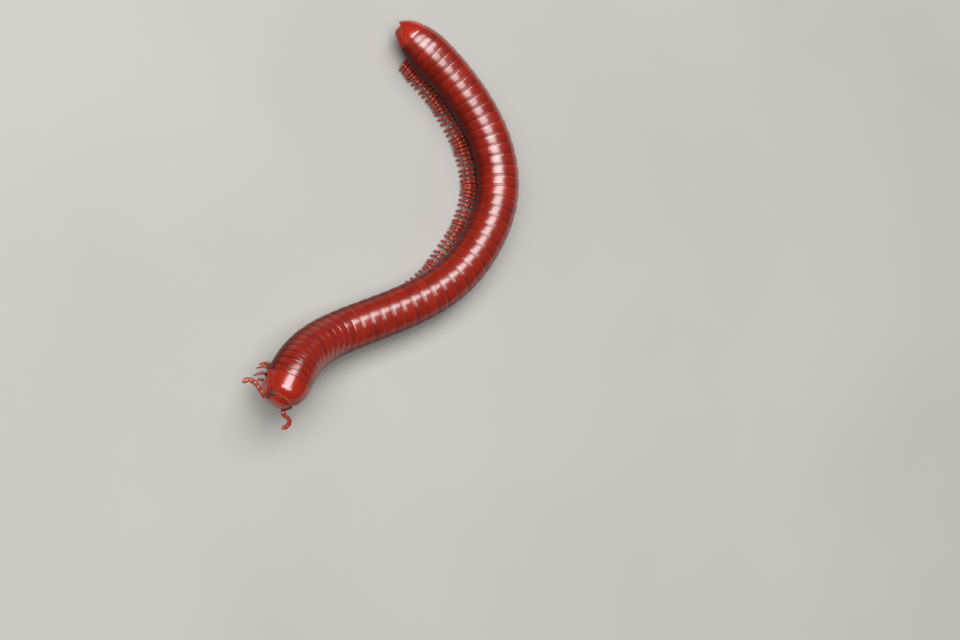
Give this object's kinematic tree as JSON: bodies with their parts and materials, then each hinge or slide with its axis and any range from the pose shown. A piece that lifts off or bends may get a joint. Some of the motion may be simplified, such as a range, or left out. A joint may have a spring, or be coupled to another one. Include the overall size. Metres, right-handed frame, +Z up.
{
  "type": "rusty millipede",
  "caption": "Life-size rusty millipede: a long glossy ringed body bent in an S on rows of short legs, its front end raised, with a hooded head and curled antennae.",
  "frame": {"origin": "on the floor, under the middle of the bounding box", "axes": "+Z is up; +Y runs towards the tail end and -Y towards the head; +X towards the outside of the body's long bend"},
  "size_m": [0.0338, 0.0464, 0.0094],
  "materials": {
    "shell": "glossy rust-red cuticle",
    "bright_shell": "glossy orange-red cuticle",
    "eye": "glossy black eye patch"
  },
  "bodies": {
    "root": {"head": "bright_shell", "eye_left": "eye", "eye_right": "eye", "antenna_left": "bright_shell", "antenna_right": "bright_shell", "collum": "bright_shell", "trunk_01": "shell", "trunk_02": "shell", "trunk_03": "shell", "trunk_04": "shell", "trunk_05": "shell", "trunk_06": "shell", "trunk_07": "shell", "trunk_08": "shell", "trunk_09": "shell", "trunk_10": "shell", "telson": "bright_shell"}
  },
  "joints": []
}
